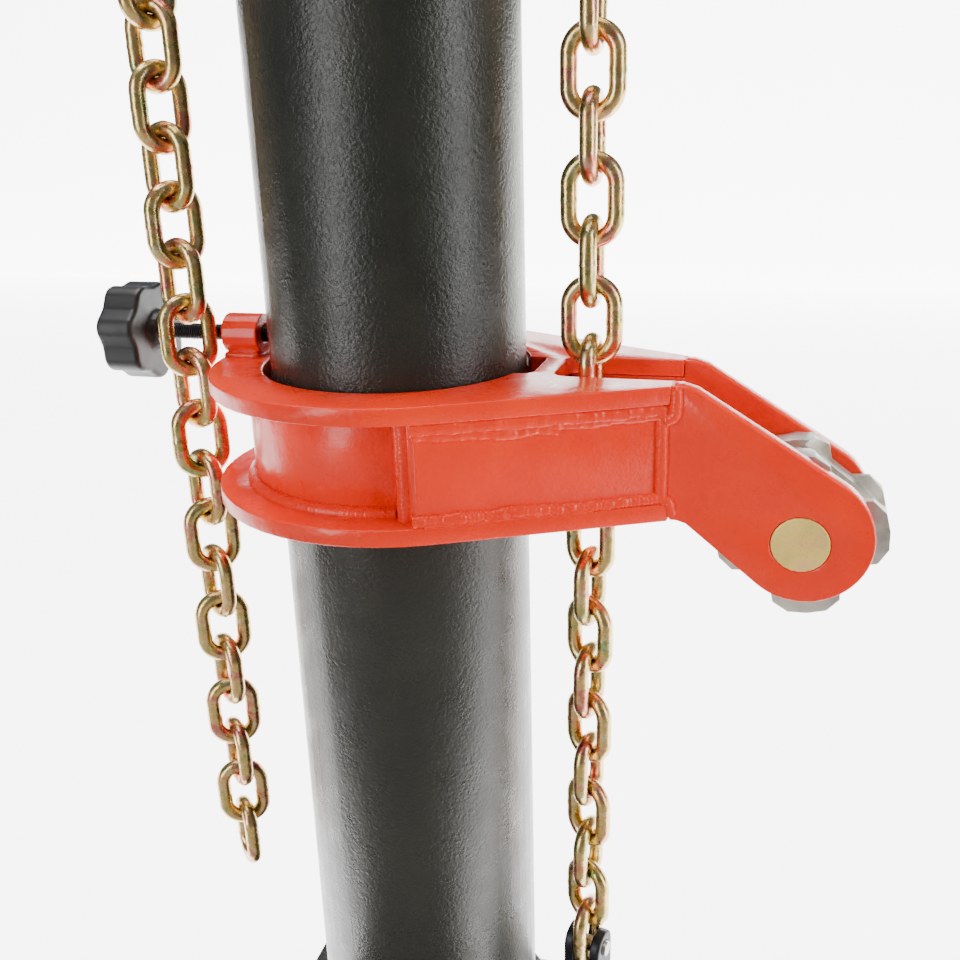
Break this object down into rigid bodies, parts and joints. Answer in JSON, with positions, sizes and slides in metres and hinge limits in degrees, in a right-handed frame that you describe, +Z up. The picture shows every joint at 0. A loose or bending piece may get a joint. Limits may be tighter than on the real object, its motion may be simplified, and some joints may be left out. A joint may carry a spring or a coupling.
{
  "type": "pulling tower with chain collar",
  "caption": "Round steel pulling tower with a sliding chain collar, pocket wheel and clamp screw, a hydraulic chain head on a rod, chain and hook",
  "frame": {"origin": "Centre of the base plate's underside, on the column's axis; metres.", "axes": "+Z up along the column; +X from the column towards the collar's wheel and the chain's working run; +Y to the left seen from the wheel side."},
  "size_m": [0.4703, 0.3, 1.109],
  "materials": {
    "orange_paint": "gloss powder coat, light orange peel",
    "column_paint": "gloss dark olive paint with a fine hammered texture",
    "chain_zinc": "yellow zinc passivated, drop-forged welded links",
    "wheel_zinc": "light grey zinc over a cast and turned face",
    "turned_steel": "machined bright steel",
    "hard_chrome": "ground hard chrome",
    "gold_zinc": "pale gold zinc passivated",
    "black_plastic": "moulded black plastic, satin",
    "black_steel": "black oxide",
    "seal_rubber": "nitrile, smooth"
  },
  "bodies": {
    "root": {"base_plate": "column_paint", "base_gusset_1": "column_paint", "base_gusset_2": "column_paint", "base_gusset_3": "column_paint", "base_gusset_4": "column_paint", "column_tube": "column_paint", "ram_barrel": "turned_steel", "ram_gland": "turned_steel", "rod_wiper": "seal_rubber", "oil_inlet": "turned_steel"},
    "swivel_ring": {"swivel_ring": "column_paint"},
    "ram_head": {"ram_piston": "turned_steel", "piston_seal": "seal_rubber", "ram_rod": "hard_chrome", "head_socket": "orange_paint", "head_plate": "orange_paint", "head_cheek_near": "orange_paint", "head_cheek_far": "orange_paint", "head_wheel_pin": "gold_zinc", "head_roller_pin": "gold_zinc", "head_spacer_far": "turned_steel", "head_spacer_near": "turned_steel", "head_chain_grab": "orange_paint", "chain_working_run": "chain_zinc"},
    "head_wheel": {"head_wheel": "wheel_zinc"},
    "head_roller": {"head_roller": "wheel_zinc"},
    "chain_tail": {"chain_tail": "chain_zinc"},
    "hook": {"chain_hook": "black_steel", "hook_clevis_pin": "turned_steel", "hook_latch_pin": "turned_steel"},
    "hook_latch": {"hook_latch": "gold_zinc"},
    "collar": {"collar_top_flange": "orange_paint", "collar_bottom_flange": "orange_paint", "collar_web": "orange_paint", "collar_side_plate_near": "orange_paint", "collar_side_plate_far": "orange_paint", "collar_cheek_near": "orange_paint", "collar_cheek_far": "orange_paint", "collar_wheel_pin": "gold_zinc", "collar_screw_boss": "orange_paint"},
    "collar_wheel": {"collar_wheel": "wheel_zinc"},
    "clamp_pad": {"clamp_pad": "black_steel"},
    "clamp_knob": {"clamp_screw": "black_steel", "clamp_knob": "black_plastic"}
  },
  "joints": [
    {"name": "tower_swivel", "type": "hinge", "parent": "root", "child": "swivel_ring", "pos_m": [0, 0, 0.8703], "axis": [0, 0, 1], "range_deg": [-90, 90]},
    {"name": "ram_slide", "type": "slide", "parent": "swivel_ring", "child": "ram_head", "axis": [0, 0, 1], "range_m": [0, 0.2]},
    {"name": "head_wheel_turn", "type": "hinge", "parent": "ram_head", "child": "head_wheel", "pos_m": [0.07683, 0, 1.0516], "axis": [0, 1, 0], "continuous": true},
    {"name": "head_roller_turn", "type": "hinge", "parent": "ram_head", "child": "head_roller", "pos_m": [-0.0825, 0, 1.03707], "axis": [0, 1, 0], "continuous": true},
    {"name": "tail_swing", "type": "hinge", "parent": "ram_head", "child": "chain_tail", "pos_m": [-0.1275, -0.0228, 1.0235], "axis": [-1, 0, 0], "range_deg": [0, 12]},
    {"name": "hook_swing", "type": "hinge", "parent": "ram_head", "child": "hook", "pos_m": [0.1163, 0, 0.1906], "axis": [0.9744, -0.225, 0], "range_deg": [-35, 35]},
    {"name": "latch_swing", "type": "hinge", "parent": "hook", "child": "hook_latch", "pos_m": [0.11799, 0.00731, 0.1635], "axis": [-0.9744, 0.225, 0], "range_deg": [0, 40], "stiffness_Nm_per_rad": 0.08, "springref_deg": -20.05},
    {"name": "collar_slide", "type": "slide", "parent": "swivel_ring", "child": "collar", "axis": [0, 0, 1], "range_m": [-0.08, 0.25]},
    {"name": "collar_wheel_turn", "type": "hinge", "parent": "collar", "child": "collar_wheel", "pos_m": [0.2365, 0, 0.5155], "axis": [0, 1, 0], "continuous": true},
    {"name": "pad_slide", "type": "slide", "parent": "collar", "child": "clamp_pad", "axis": [1, 0, 0], "range_m": [-0.0046, 0]},
    {"name": "knob_turn", "type": "hinge", "parent": "clamp_pad", "child": "clamp_knob", "pos_m": [-0.16, 0, 0.613], "axis": [1, 0, 0], "range_deg": [-1080, 0]}
  ],
  "couplings": [
    {"joint": "pad_slide", "follows": "knob_turn", "m_per_rad": 0.00023873}
  ]
}
